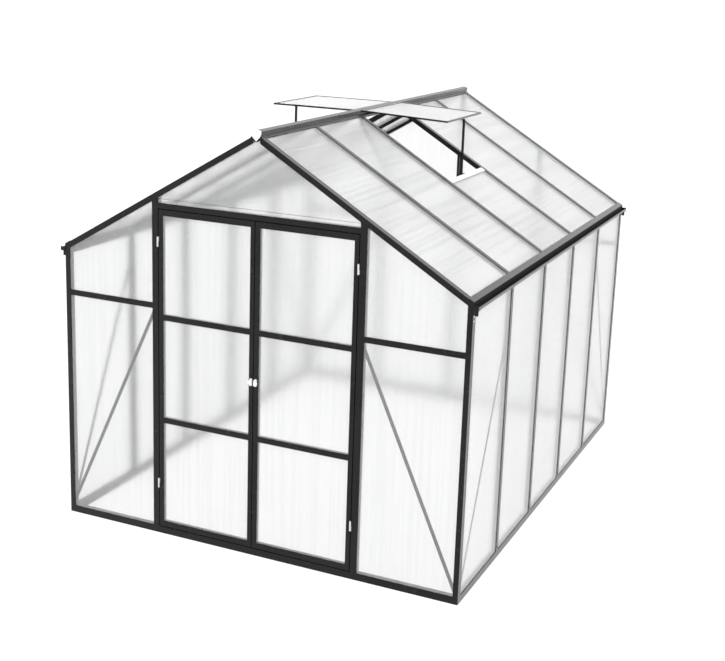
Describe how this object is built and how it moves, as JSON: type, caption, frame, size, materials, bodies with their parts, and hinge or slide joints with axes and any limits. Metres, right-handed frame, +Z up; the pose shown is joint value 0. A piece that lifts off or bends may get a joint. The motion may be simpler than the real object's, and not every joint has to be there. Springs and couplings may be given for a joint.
{
  "type": "polycarbonate greenhouse",
  "caption": "Walk-in greenhouse with a dark bar frame, clear twin-wall panels, a gable roof, an outward-opening double door and propped roof vents.",
  "frame": {"origin": "middle of the front base rail, on the ground it stands on", "axes": "+X to the right seen from the front, +Y from the door gable to the rear gable, +Z up"},
  "size_m": [2.562, 3.169, 2.425],
  "materials": {
    "frame_paint": "satin",
    "twin_wall": "gloss",
    "white_plastic": "satin",
    "bright_metal": "satin"
  },
  "bodies": {
    "house": {"base_rail_front": "frame_paint", "base_rail_rear": "frame_paint", "base_rail_left": "frame_paint", "base_rail_right": "frame_paint", "corner_post_front_left": "frame_paint", "corner_post_front_right": "frame_paint", "corner_post_rear_left": "frame_paint", "corner_post_rear_right": "frame_paint", "door_post_left": "frame_paint", "door_post_right": "frame_paint", "door_header": "frame_paint", "front_rails": "frame_paint", "rear_studs": "frame_paint", "rear_rails": "frame_paint", "wall_studs_left": "frame_paint", "wall_studs_right": "frame_paint", "rafters_front": "frame_paint", "rafters_rear": "frame_paint", "roof_bars_left": "frame_paint", "roof_bars_right": "frame_paint", "ridge_beam": "frame_paint", "ridge_caps": "white_plastic", "eave_beam_left": "frame_paint", "eave_beam_right": "frame_paint", "gutter_left": "frame_paint", "gutter_right": "frame_paint", "gutter_outlets": "frame_paint", "front_panels": "twin_wall", "rear_panels": "twin_wall", "wall_panels_left": "twin_wall", "wall_panels_right": "twin_wall", "roof_panels_left": "twin_wall", "roof_panels_right": "twin_wall", "vent_sills": "white_plastic", "vent_frame_left": "frame_paint", "vent_frame_right": "frame_paint", "vent_pane_left": "twin_wall", "vent_pane_right": "twin_wall", "vent_stays": "frame_paint", "gable_braces": "frame_paint", "side_braces": "frame_paint", "hinge_pins": "bright_metal"},
    "left_door": {"door_frame_left": "frame_paint", "door_panes_left": "twin_wall", "door_fittings_left": "bright_metal"},
    "right_door": {"door_frame_right": "frame_paint", "door_panes_right": "twin_wall", "door_fittings_right": "bright_metal"}
  },
  "joints": [
    {"name": "left_door_hinge", "type": "hinge", "parent": "house", "child": "left_door", "pos_m": [-0.6145, -0.026, 0], "axis": [0, 0, -1], "range_deg": [0, 110]},
    {"name": "right_door_hinge", "type": "hinge", "parent": "house", "child": "right_door", "pos_m": [0.6145, -0.026, 0], "axis": [0, 0, 1], "range_deg": [0, 110]}
  ]
}
